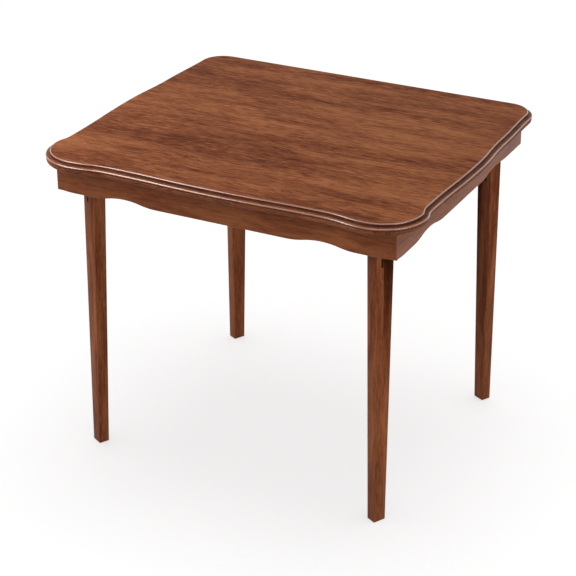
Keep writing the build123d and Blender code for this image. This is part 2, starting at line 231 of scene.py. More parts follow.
@dataclass(frozen=True)
class StainedWood:
    """Reddish brown stained wood under a satin lacquer."""

    name: str
    grain: Grain
    shift: float = 0.0
    dark: Colour = (0.062, 0.0125, 0.0045)
    deep: Colour = (0.140, 0.036, 0.0125)
    warm: Colour = (0.245, 0.078, 0.030)
    light: Colour = (0.375, 0.136, 0.055)
    patch_length: float = 0.26
    patch_width: float = 0.042
    streak_length: float = 0.055
    streak_width: float = 0.0046
    line_length: float = 0.024
    line_width: float = 0.0021
    patch_share: float = 0.85
    streak_share: float = 1.15
    line_share: float = 1.05
    board_share: float = 0.0
    # Brightness factor on every colour: the depth of the stain, and on the crowns, apron arrises and hollows also a
    # painted highlight and painted shade.
    stain_and_painted_light: float = 1.0
    coat: float = 0.0
    knots: bool = False
    lacquer: float = 0.03
    gloss: tuple[float, float] = (0.34, 0.46)

    def make(self) -> bpy.types.Material:
        """Build the material.

        Returns:
            Wood with patches, streaks, fine lines and pores that run along its grain.
        """
        material, bench = new_material(self.name)
        own = bench.add("ShaderNodeTexCoord").outputs["Object"]
        turned = bench.add("ShaderNodeMapping")
        turned.inputs["Rotation"].default_value = self.grain.value
        turned.inputs["Location"].default_value = (self.shift, self.shift * 0.37, self.shift * 0.71)
        bench.join(own, turned.inputs["Vector"])
        place = turned.outputs["Vector"]

        sway = bench.noise(bench.stretched(place, (5.0, 11.0, 11.0), 3.0), 2.0, 0.5)
        bent = bench.add("ShaderNodeVectorMath", operation="MULTIPLY_ADD")
        bench.join(sway, bent.inputs[0])
        bent.inputs[1].default_value = (0.0, 0.030, 0.030)
        bench.join(place, bent.inputs[2])
        place = bent.outputs["Vector"]

        patch = bench.noise(bench.stretched(place, self.repeats(self.patch_length, self.patch_width), 5.0), 2.0, 0.5)
        streak = bench.noise(bench.stretched(place, self.repeats(self.streak_length, self.streak_width), 11.0), 4.0, 0.66)
        line = bench.noise(bench.stretched(place, self.repeats(self.line_length, self.line_width), 17.0), 2.0, 0.6)
        pores = bench.noise(bench.stretched(place, self.repeats(0.012, 0.0007), 23.0), 1.0, 0.5)

        tone = bench.centred(patch, self.patch_share)
        tone = bench.maths("ADD", tone, bench.centred(streak, self.streak_share))
        tone = bench.maths("ADD", tone, bench.centred(line, self.line_share))
        if self.board_share:
            boards = bench.noise(bench.stretched(place, self.repeats(0.80, 0.34), 29.0), 1.0, 0.5)
            tone = bench.maths("ADD", tone, bench.centred(boards, self.board_share))
        tone = bench.maths("ADD", tone, 0.5, clamp=True)
        tones = ((0.14, self.dark), (0.36, self.deep), (0.58, self.warm), (0.86, self.light))
        colour = bench.ramp(tone, tuple((stop, tuple(part * self.stain_and_painted_light for part in one)) for stop, one in tones))

        fleck = bench.maths("GREATER_THAN", pores, 0.66)
        colour = bench.blend("MULTIPLY", bench.maths("MULTIPLY", fleck, 0.35), colour, (0.42, 0.30, 0.25))
        if self.knots:
            colour = bench.blend("MULTIPLY", self.knot_share(bench, place), colour, (0.26, 0.16, 0.13))

        bump = bench.add("ShaderNodeBump", Strength=0.08, Distance=0.0004)
        bench.join(bench.maths("SUBTRACT", line, bench.maths("MULTIPLY", fleck, 0.5)), bump.inputs["Height"])
        rough = bench.add("ShaderNodeMapRange")
        rough.inputs["To Min"].default_value = self.gloss[0]
        rough.inputs["To Max"].default_value = self.gloss[1]
        bench.join(streak, rough.inputs["Value"])

        shader = bench.add("ShaderNodeBsdfPrincipled")
        shader.inputs["Specular IOR Level"].default_value = self.lacquer
        shader.inputs["Coat Weight"].default_value = self.coat
        shader.inputs["Coat Roughness"].default_value = self.gloss[0]
        bench.join(colour, shader.inputs["Base Color"])
        bench.join(rough.outputs["Result"], shader.inputs["Roughness"])
        bench.join(bump.outputs["Normal"], shader.inputs["Normal"])
        bench.join(shader.outputs["BSDF"], bench.add("ShaderNodeOutputMaterial").inputs["Surface"])
        return material

    def repeats(self, along: float, across: float) -> tuple[float, float, float]:
        """Repeats for each metre of a mark of this length and width."""
        return 1.0 / along, 1.0 / across, 1.0 / across

    def knot_share(self, bench: Bench, place: bpy.types.NodeSocket) -> bpy.types.NodeSocket:
        """Shade a few small knots and dark marks.

        Args:
            bench: Bench of the material.
            place: Coordinates with the grain along X.

        Returns:
            The share of dark colour, 1 in a knot's middle.
        """
        cells = bench.add("ShaderNodeTexVoronoi", Scale=1.0)
        bench.join(bench.stretched(place, (4.2, 9.5, 0.0), 4.3), cells.inputs["Vector"])
        near = bench.add("ShaderNodeMapRange", interpolation_type="SMOOTHSTEP")
        near.inputs["From Min"].default_value = 0.085
        near.inputs["From Max"].default_value = 0.015
        bench.join(cells.outputs["Distance"], near.inputs["Value"])
        parts = bench.add("ShaderNodeSeparateColor")
        bench.join(cells.outputs["Color"], parts.inputs["Color"])
        kept = bench.maths("GREATER_THAN", parts.outputs[0], 0.50)
        return bench.maths("MULTIPLY", bench.maths("MULTIPLY", near.outputs["Result"], kept), 0.85)


@dataclass(frozen=True)
class PlainWood:
    """Pale unfinished wood of the corner blocks and dowels."""

    name: str = "plain_wood_blocks"
    pale: Colour = (0.50, 0.33, 0.17)
    brown: Colour = (0.33, 0.19, 0.085)

    def make(self) -> bpy.types.Material:
        """Build the material.

        Returns:
            Dull wood with upright year rings and fine fibres.
        """
        material, bench = new_material(self.name)
        place = bench.add("ShaderNodeTexCoord").outputs["Object"]
        rings = bench.noise(bench.stretched(place, (260.0, 260.0, 18.0), 2.0), 3.0, 0.6)
        fibre = bench.noise(bench.stretched(place, (1500.0, 1500.0, 60.0), 7.0), 2.0, 0.6)
        tone = bench.maths("ADD", bench.maths("MULTIPLY", rings, 0.6), bench.maths("MULTIPLY", fibre, 0.4))
        colour = bench.ramp(tone, ((0.32, self.brown), (0.66, self.pale)))
        bump = bench.add("ShaderNodeBump", Strength=0.2, Distance=0.0004)
        bench.join(fibre, bump.inputs["Height"])
        shader = bench.add("ShaderNodeBsdfPrincipled")
        shader.inputs["Roughness"].default_value = 0.7
        shader.inputs["Specular IOR Level"].default_value = 0.3
        bench.join(colour, shader.inputs["Base Color"])
        bench.join(bump.outputs["Normal"], shader.inputs["Normal"])
        bench.join(shader.outputs["BSDF"], bench.add("ShaderNodeOutputMaterial").inputs["Surface"])
        return material


@dataclass(frozen=True)
class PlatedSteel:
    """Zinc plated steel of the hinges, braces and screws."""

    name: str
    bright: Colour = (0.56, 0.55, 0.52)
    dull: Colour = (0.38, 0.37, 0.35)
    polish: float = 0.30

    def make(self) -> bpy.types.Material:
        """Build the material.

        Returns:
            Metal with cloudy plating and fine rolling marks.
        """
        material, bench = new_material(self.name)
        place = bench.add("ShaderNodeTexCoord").outputs["Object"]
        cloud = bench.noise(bench.stretched(place, (90.0, 90.0, 90.0), 1.0), 3.0, 0.6)
        marks = bench.noise(bench.stretched(place, (1400.0, 1400.0, 90.0), 6.0), 2.0, 0.6)
        colour = bench.ramp(cloud, ((0.35, self.dull), (0.62, self.bright)))
        rough = bench.add("ShaderNodeMapRange")
        rough.inputs["To Min"].default_value = self.polish
        rough.inputs["To Max"].default_value = self.polish + 0.22
        bench.join(cloud, rough.inputs["Value"])
        bump = bench.add("ShaderNodeBump", Strength=0.08, Distance=0.0002)
        bench.join(marks, bump.inputs["Height"])
        shader = bench.add("ShaderNodeBsdfPrincipled")
        shader.inputs["Metallic"].default_value = 1.0
        bench.join(colour, shader.inputs["Base Color"])
        bench.join(rough.outputs["Result"], shader.inputs["Roughness"])
        bench.join(bump.outputs["Normal"], shader.inputs["Normal"])
        bench.join(shader.outputs["BSDF"], bench.add("ShaderNodeOutputMaterial").inputs["Surface"])
        return material


class Pen:
    """Draws a chain of edges in the XY plane with straight runs and tangent arcs."""

    def __init__(self, bm: bmesh.types.BMesh, start: tuple[float, float], heading: tuple[float, float], run: float) -> None:
        """Set the pen down.

        Args:
            bm: Mesh that gets the chain.
            start: First point.
            heading: Direction in which the chain leaves it.
            run: Longest edge of an arc.
        """
        self.bm = bm
        self.tip = bm.verts.new((*start, 0.0))
        self.heading = Vector((*heading, 0.0)).normalized()
        self.run = run

    def line_to(self, end: tuple[float, float]) -> None:
        """Draw a straight run to a point."""
        reach = Vector((*end, 0.0)) - self.tip.co
        drawn = bmesh.ops.extrude_vert_indiv(self.bm, verts=[self.tip])
        self.tip = drawn["verts"][0]
        bmesh.ops.translate(self.bm, vec=reach, verts=[self.tip])
        self.heading = reach.normalized()

    def arc_to(self, end: tuple[float, float], steps: int | None = None) -> None:
        """Draw the arc that leaves along the heading and ends at a point.

        Args:
            end: Its last point.
            steps: Number of edges, or None for edges of the pen's run.
        """
        chord = Vector((*end, 0.0)) - self.tip.co
        aside = Vector((-self.heading.y, self.heading.x, 0.0))
        radius = chord.length_squared / (2.0 * chord.dot(aside))
        turn = 2.0 * math.atan2(chord.dot(aside), chord.dot(self.heading))
        centre = self.tip.co + aside * radius
        steps = steps or max(2, math.ceil(abs(radius * turn) / self.run))
        drawn = bmesh.ops.spin(
            self.bm, geom=[self.tip], cent=centre, axis=(0.0, 0.0, 1.0), angle=turn, steps=steps,
        )
        self.tip = next(one for one in drawn["geom_last"] if isinstance(one, bmesh.types.BMVert))
        self.heading = Matrix.Rotation(turn, 3, "Z") @ self.heading

    def wave_to(self, end: tuple[float, float]) -> None:
        """Draw two arcs to a point, so that the heading there is the same as before."""
        middle = (self.tip.co + Vector((*end, 0.0))) / 2.0
        self.arc_to((middle.x, middle.y))
        self.arc_to(end)

    def arc_through(self, middle: tuple[float, float], end: tuple[float, float], steps: int) -> None:
        """Draw the arc through a middle point to an end, whatever the heading was."""
        start = self.tip.co
        first = Vector((*middle, 0.0)) - start
        last = Vector((*end, 0.0)) - start
        bow = 2.0 * (first.x * last.y - first.y * last.x)
        centre = Vector((
            (last.y * first.length_squared - first.y * last.length_squared) / bow,
            (first.x * last.length_squared - last.x * first.length_squared) / bow,
            0.0,
        ))
        tangent = Vector((centre.y, -centre.x, 0.0))
        self.heading = (tangent if tangent.dot(first) > 0 else -tangent).normalized()
        self.arc_to(end, steps)

    def fill(self) -> bmesh.types.BMFace:
        """Close the chain and fill it.

        Returns:
            The face, turned up.
        """
        bmesh.ops.remove_doubles(self.bm, verts=self.bm.verts, dist=0.01)
        bmesh.ops.contextual_create(self.bm, geom=self.bm.edges[:])
        face = next(iter(self.bm.faces))
        face.normal_update()
        if face.normal.z < 0:
            face.normal_flip()
        return face


def of_kind(geometry: list, kind: type) -> list:
    """The elements of one kind in an operator's result."""
    return [one for one in geometry if isinstance(one, kind)]


def close_holes(bm: bmesh.types.BMesh) -> None:
    """Fill what a cut left open."""
    bmesh.ops.holes_fill(bm, edges=[edge for edge in bm.edges if edge.is_boundary], sides=0)


def cut_away(bm: bmesh.types.BMesh, point: Vector, outward: Vector) -> None:
    """Cut a solid by a plane and close it.

    Args:
        bm: The solid.
        point: A point of the plane.
        outward: The plane's normal, on the side that is taken away.
    """
    bmesh.ops.bisect_plane(
        bm, geom=bm.verts[:] + bm.edges[:] + bm.faces[:], dist=1e-5,
        plane_co=point, plane_no=outward, clear_outer=True,
    )
    close_holes(bm)


def round_edges(bm: bmesh.types.BMesh, edges: list[bmesh.types.BMEdge], radius: float, segments: int) -> None:
    """Round edges off by the same radius."""
    bmesh.ops.bevel(
        bm, geom=edges, offset=radius, offset_type="OFFSET", affect="EDGES",
        segments=segments, profile=0.5, material=-1, clamp_overlap=True,
    )


def finish_piece(
    bm: bmesh.types.BMesh, name: str, material: bpy.types.Material, body: str, nodes: tuple[str, ...],
    place: Matrix | None = None, crease: float = 28.0,
) -> bpy.types.Object:
    """Turn a mesh in millimetres into a piece of the table.

    Args:
        bm: The mesh, which is freed.
        name: Name of the piece.
        material: Its finish.
        body: CAD body that carries it.
        nodes: CAD nodes that it stands for.
        place: Where it stands, in millimetres.
        crease: Angle in degrees past which an edge stays crisp.

    Returns:
        The object, at the origin, with its place in its mesh.
    """
    if place is not None:
        bmesh.ops.transform(bm, matrix=place, verts=bm.verts)
    bmesh.ops.scale(bm, vec=(MM, MM, MM), verts=bm.verts)
    bmesh.ops.recalc_face_normals(bm, faces=bm.faces)
    for face in bm.faces:
        face.smooth = True
    for edge in bm.edges:
        edge.smooth = edge.calc_face_angle(0.0) < math.radians(crease)
    mesh = bpy.data.meshes.new(name)
    bm.to_mesh(mesh)
    bm.free()
    mesh.materials.append(material)
    piece = bpy.data.objects.new(name, mesh)
    bpy.context.scene.collection.objects.link(piece)
    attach(piece, body)
    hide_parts(*nodes)
    LOG.info("%s on %s: %d faces", name, body, len(mesh.polygons))
    return piece


@dataclass
class Board:
    """The board with its scalloped outline and moulded edge."""

    width: float = 871.0
    depth: float = 774.0
    height: float = 724.5
    thickness: float = 18.5
    front_corner_radius: float = 96.0
    back_corner_radius: float = 63.0
    front_dip_place: float = 190.0
    front_dip_depth: float = 10.5
    front_middle_depth: float = 4.0
    side_front_dip_place: float = 138.0
    side_back_dip_place: float = 232.0
    side_dip_depth: float = 7.5
    side_middle: float = 4.5
    side_middle_depth: float = 0.5
    back_crest_depth: float = 12.0
    edge_band: float = 14.0
    edge_thickness: float = 24.0
    arris_radius: float = 2.0
    arris_inset: float = 9.8
    cove_top_drop: float = 2.2
    cove_radius: float = 5.2
    lit_cove_share: float = 0.20
    bead_inset: float = 2.0
    bead_height: float = 5.2
    quirk_inset: float = 2.4
    quirk_height: float = 1.2
    under_inset: float = 6.0
    under_swell: float = 2.6
    flat_ring: float = 0.8
    flat_limit: float = 0.999
    outline_run: float = 4.0
    finish: StainedWood = StainedWood(
        "stained_top", Grain.ALONG_X, stain_and_painted_light=0.98, knots=True, lacquer=0.01, board_share=0.5,
    )
    # Painted highlight: the arris and the bead's upper half get a much lighter colour, on top of a real glossy lacquer.
    crown_highlight_finish: StainedWood = StainedWood(
        "crowns_painted_highlight", Grain.ALONG_X, shift=1.3, stain_and_painted_light=1.55, patch_share=0.4, streak_share=0.3, line_share=0.2,
        lacquer=0.80, gloss=(0.14, 0.20), coat=1.0,
    )
    # Painted shade: the cove and the groove below the bead get a much darker colour, where shade falls in the hollows.
    hollow_shade_finish: StainedWood = StainedWood(
        "hollows_painted_shade", Grain.ALONG_X, shift=2.3, stain_and_painted_light=0.34, patch_share=0.5, streak_share=0.4,
        coat=0.03,
    )
    under_finish: StainedWood = StainedWood(
        "stained_edge", Grain.ALONG_X, shift=3.3, stain_and_painted_light=0.85, patch_share=0.5, streak_share=0.5, coat=0.12,
    )

    @property
    def underside(self) -> float:
        """Height of the lower face inside the moulded edge."""
        return self.height - self.thickness

    @property
    def bead_top_drop(self) -> float:
        """Drop of the bead's upper edge."""
        return self.cove_top_drop + self.cove_radius

    @property
    def bead_bottom_drop(self) -> float:
        """Drop of the bead's lower edge."""
        return self.bead_top_drop + self.bead_height

    @property
    def quirk_drop(self) -> float:
        """Drop of the groove below the bead."""
        return self.bead_bottom_drop + self.quirk_height

    def outline(self, bm: bmesh.types.BMesh) -> bmesh.types.BMFace:
        """Draw the outline as a face.

        Args:
            bm: Mesh that gets it.

        Returns:
            The face at zero, turned up.
        """
        half_width, half_depth = self.width / 2, self.depth / 2
        front_crest = half_width - self.front_corner_radius
        side_crest = self.front_corner_radius - half_depth
        front_dip = self.front_dip_depth - half_depth
        front_dip_reach = half_width - self.front_dip_place
        side_front_dip = self.side_front_dip_place - half_depth
        side_back_dip = half_depth - self.side_back_dip_place
        side_crown = half_width - self.side_middle_depth
        back_crest = half_width - self.back_crest_depth
        back_place = half_depth - self.back_corner_radius
        back_flat = back_crest - self.back_corner_radius
        dip = half_width - self.side_dip_depth

        pen = Pen(bm, (0.0, half_depth), (-1.0, 0.0), self.outline_run)
        pen.line_to((-back_flat, half_depth))
        pen.arc_to((-back_crest, back_place))
        pen.wave_to((-dip, side_back_dip))
        pen.wave_to((-side_crown, self.side_middle))
        pen.wave_to((-dip, side_front_dip))
        pen.wave_to((-half_width, side_crest))
        pen.arc_to((-front_crest, -half_depth))
        pen.wave_to((-front_dip_reach, front_dip))
        pen.wave_to((0.0, self.front_middle_depth - half_depth))
        pen.wave_to((front_dip_reach, front_dip))
        pen.wave_to((front_crest, -half_depth))
        pen.arc_to((half_width, side_crest))
        pen.wave_to((dip, side_front_dip))
        pen.wave_to((side_crown, self.side_middle))
        pen.wave_to((dip, side_back_dip))
        pen.wave_to((back_crest, back_place))
        pen.arc_to((back_flat, half_depth))
        pen.line_to((0.0, half_depth))
        return pen.fill()

    def section(self) -> list[Vector]:
        """Draw the moulded edge's section.

        Returns:
            Its points from the upper face down, with the distance out from the outline and the height.
        """
        bm = bmesh.new()
        pen = Pen(bm, (-self.arris_inset - self.arris_radius, 0.0), (1.0, 0.0), 1.0)
        pen.arc_to((-self.arris_inset, -self.arris_radius), 5)
        pen.line_to((-self.arris_inset, -self.cove_top_drop))
        pen.arc_to((self.cove_radius - self.arris_inset, -self.bead_top_drop), 6)
        pen.line_to((-self.bead_inset, -self.bead_top_drop))
        middle = -self.bead_top_drop - self.bead_height / 2
        pen.arc_through((0.0, middle), (-self.bead_inset, -self.bead_bottom_drop), 7)
        pen.line_to((-self.quirk_inset, -self.quirk_drop))
        swell = (
            self.under_swell - (self.quirk_inset + self.under_inset) / 2,
            -(self.quirk_drop + self.edge_thickness + self.under_swell) / 2,
        )
        pen.arc_through(swell, (-self.under_inset, -self.edge_thickness), 6)
        points = [vert.co.copy() for vert in bm.verts]
        bm.free()
        return points

    def build(self) -> bpy.types.Object:
        """Build the board.

        Returns:
            The board's piece.
        """
        points = self.section()
        widest = max(range(len(points) - 1), key=lambda place: points[place].x + points[place + 1].x)
        bm = bmesh.new()
        low = self.outline(bm)
        raised = bmesh.ops.extrude_face_region(bm, geom=[low])["geom"]
        high = of_kind(raised, bmesh.types.BMFace)[0]
        bmesh.ops.translate(bm, vec=(0.0, 0.0, points[widest + 1].y), verts=low.verts)
        bmesh.ops.translate(bm, vec=(0.0, 0.0, points[widest].y), verts=high.verts)
        bmesh.ops.recalc_face_normals(bm, faces=bm.faces)
        self.step_in(bm, high, points[widest::-1])
        self.step_in(bm, low, points[widest + 1:])
        self.inset(bm, low, self.edge_band - self.under_inset - self.flat_ring, 0.0)
        self.inset(bm, low, 0.0, self.thickness - self.edge_thickness)
        for face in bm.faces:
            face.normal_update()
            face.material_index = self.finish_index(face)
        piece = finish_piece(
            bm, "table_board", self.finish.make(), "table_frame", ("top_panel",),
            Matrix.Translation((0.0, 0.0, self.height)),
        )
        for finish in (self.crown_highlight_finish, self.hollow_shade_finish, self.under_finish):
            piece.data.materials.append(finish.make())
        return piece

    def finish_index(self, face: bmesh.types.BMFace) -> int:
        """Choose the material slot of a face: flat, crown with painted highlight, hollow with painted shade, or lower
        part.
        """
        if abs(face.normal.z) > self.flat_limit:
            return 0
        drop = -face.calc_center_median().z
        # The arris and the bead's upper half take the slot with the painted highlight.
        if drop < self.arris_radius or 0 < drop - self.bead_top_drop < self.bead_height / 2:
            return 1
        # The shaded part of the cove and the groove under the bead take the slot with the painted shade.
        shaded = self.bead_top_drop - self.cove_radius * self.lit_cove_share
        if drop < shaded or self.bead_bottom_drop < drop < self.quirk_drop:
            return 2
        return 3

    def step_in(self, bm: bmesh.types.BMesh, face: bmesh.types.BMFace, points: list[Vector]) -> None:
        """Form the moulding from a face's edge to its flat.

        Args:
            bm: The board.
            face: Its upper or lower face.
            points: The section's points from the widest place to the flat.
        """
        for before, after in zip(points, points[1:]):
            self.inset(bm, face, before.x - after.x, abs(after.y - before.y))
        self.inset(bm, face, self.flat_ring, 0.0)

    def inset(self, bm: bmesh.types.BMesh, face: bmesh.types.BMFace, inward: float, outward: float) -> None:
        """Inset a face and move it out."""
        bmesh.ops.inset_region(
            bm, faces=[face], thickness=inward, depth=outward, use_boundary=True, use_even_offset=True,
        )


@dataclass
class Apron:
    """The four apron boards, mitred at the corners and scalloped below."""

    board: Board
    side_overhang: float = 40.5
    front_overhang: float = 45.0
    back_overhang: float = 36.0
    thickness: float = 18.0
    drop: float = 69.7
    front_end: tuple[float, float, float] = (2.0, 42.0, 0.0)
    back_end: tuple[float, float, float] = (5.0, 75.0, 0.0)
    side_back_end: tuple[float, float, float] = (5.0, 75.0, 5.0)
    arch_place: float = 165.0
    arch_half: float = 78.0
    arch_rise: float = 9.0
    arris: float = 1.0
    corner_radius: float = 1.6
    corner_facets: tuple[float, ...] = (15.0, 30.0, 45.0)
    flat_limit: float = 0.995
    outline_run: float = 5.0
    # Painted highlight: the apron's rounded arrises get a lighter colour, besides a little real gloss.
    arris_highlight_finish: StainedWood = StainedWood(
        "apron_arris_painted_highlight", Grain.ALONG_X, shift=4.3, stain_and_painted_light=1.25, patch_share=0.4, streak_share=0.3, line_share=0.2,
        lacquer=0.25, gloss=(0.20, 0.28),
    )

    @property
    def width(self) -> float:
        """Length of the front and back boards."""
        return self.board.width - 2 * self.side_overhang

    @property
    def depth(self) -> float:
        """Length of the side boards."""
        return self.board.depth - self.front_overhang - self.back_overhang

    @property
    def middle(self) -> float:
        """Place in Y of the aprons' middle."""
        return (self.front_overhang - self.back_overhang) / 2

    def lower_half(self, length: float, end: tuple[float, float, float]) -> list[tuple[float, float]]:
        """Lay out one half of the lower edge.

        Args:
            length: The board's length over the mitres.
            end: Rise at the end, its run, and rise of the arch's outer foot.

        Returns:
            Its points from the inner foot of the arch to the end.
        """
        rise, run, foot = end
        half, low = length / 2, -self.drop
        arch = half - self.arch_place
        return [
            (arch - self.arch_half, low), (arch, low + self.arch_rise), (arch + self.arch_half, low + foot),
            (half - run, low + foot), (half, low + rise),
        ]

    def shape(
        self, length: float, left_end: tuple[float, float, float], right_end: tuple[float, float, float],
    ) -> bmesh.types.BMesh:
        """Build one board along X, its outer face on the XZ plane and its upper edge at zero.

        Args:
            length: Its length over the mitres.
            left_end: Form of the lower edge at its left end.
            right_end: Form of the lower edge at its right end.

        Returns:
            Its mesh.
        """
        half, crest = length / 2, self.arch_rise - self.drop
        left = [(-x, z) for x, z in reversed(self.lower_half(length, left_end))]
        points = left + self.lower_half(length, right_end)
        bm = bmesh.new()
        pen = Pen(bm, points[0], (1.0, 0.0), self.outline_run)
        for before, after in zip(points, points[1:]):
            if before[1] == after[1]:
                pen.line_to(after)
            else:
                pen.wave_to(after)
        pen.line_to((half, 0.0))
        pen.line_to((-half, 0.0))
        pen.line_to(points[0])
        face = pen.fill()
        bmesh.ops.extrude_face_region(bm, geom=[face])
        bmesh.ops.translate(bm, vec=(0.0, 0.0, -self.thickness), verts=face.verts)
        bmesh.ops.recalc_face_normals(bm, faces=bm.faces)
        bmesh.ops.rotate(bm, cent=(0.0, 0.0, 0.0), matrix=Matrix.Rotation(math.pi / 2, 3, "X"), verts=bm.verts)
        lower = [
            edge for edge in bm.edges
            if max(vert.co.z for vert in edge.verts) < crest + self.arris
            and abs(edge.verts[0].co.y - edge.verts[1].co.y) < self.arris
        ]
        round_edges(bm, lower, self.arris, 3)
        for side in (-1, 1):
            cut_away(bm, Vector((side * half, 0.0, 0.0)), Vector((side, 1.0, 0.0)))
            middle = Vector((side * (half - self.corner_radius), self.corner_radius, 0.0))
            for facet in self.corner_facets:
                turn = math.radians(facet)
                outward = Vector((side * math.sin(turn), -math.cos(turn), 0.0))
                cut_away(bm, middle + outward * self.corner_radius, outward)
        # Rounded arris faces take the second slot, which has the painted highlight.
        for face in bm.faces:
            face.normal_update()
            rounded = abs(face.normal.y) < self.flat_limit and abs(face.normal.y) > 1 - self.flat_limit
            face.material_index = int(rounded and (face.normal.y < 0 or face.normal.z < self.flat_limit - 1))
        return bm

    def build(self) -> list[bpy.types.Object]:
        """Build the four boards.

        Returns:
            Their pieces.
        """
        level = self.board.underside
        places = (
            ("apron_front", self.shape(self.width, self.front_end, self.front_end), (0.0, -self.depth / 2), Grain.ALONG_X),
            ("apron_right", self.shape(self.depth, self.front_end, self.side_back_end), (self.width / 2, 0.0), Grain.ALONG_Y),
            ("apron_back", self.shape(self.width, self.back_end, self.back_end), (0.0, self.depth / 2), Grain.ALONG_X),
            ("apron_left", self.shape(self.depth, self.side_back_end, self.front_end), (-self.width / 2, 0.0), Grain.ALONG_Y),
        )
        pieces = []
        arris_highlights = self.arris_highlight_finish.make()
        for quarter, (node, bm, (across, along), grain) in enumerate(places):
            finish = StainedWood(
                "stained_" + node, grain, shift=3.1 + quarter * 1.7,
                patch_length=0.22, patch_width=0.034, streak_length=0.085, streak_width=0.0055,
                patch_share=0.60, streak_share=0.50, line_share=0.40, stain_and_painted_light=1.12, lacquer=0.08,
            )
            place = Matrix.Translation((across, self.middle + along, level))
            pieces.append(finish_piece(
                bm, node + "_board", finish.make(), "table_frame", (node,),
                place @ Matrix.Rotation(quarter * math.pi / 2, 4, "Z"),
            ))
            pieces[-1].data.materials.append(arris_highlights)
        return pieces


@dataclass(frozen=True)
class LegSection:
    """Cross section of a leg at a level below its hinge pin."""

    left: float
    right: float
    outer: float
    inner: float
    level: float

    @property
    def middle(self) -> Vector:
        """Middle of the section."""
        return Vector(((self.left + self.right) / 2, (self.outer + self.inner) / 2, self.level))

    @property
    def spans(self) -> Vector:
        """Width and thickness."""
        return Vector((self.right - self.left, self.inner - self.outer, 1.0))


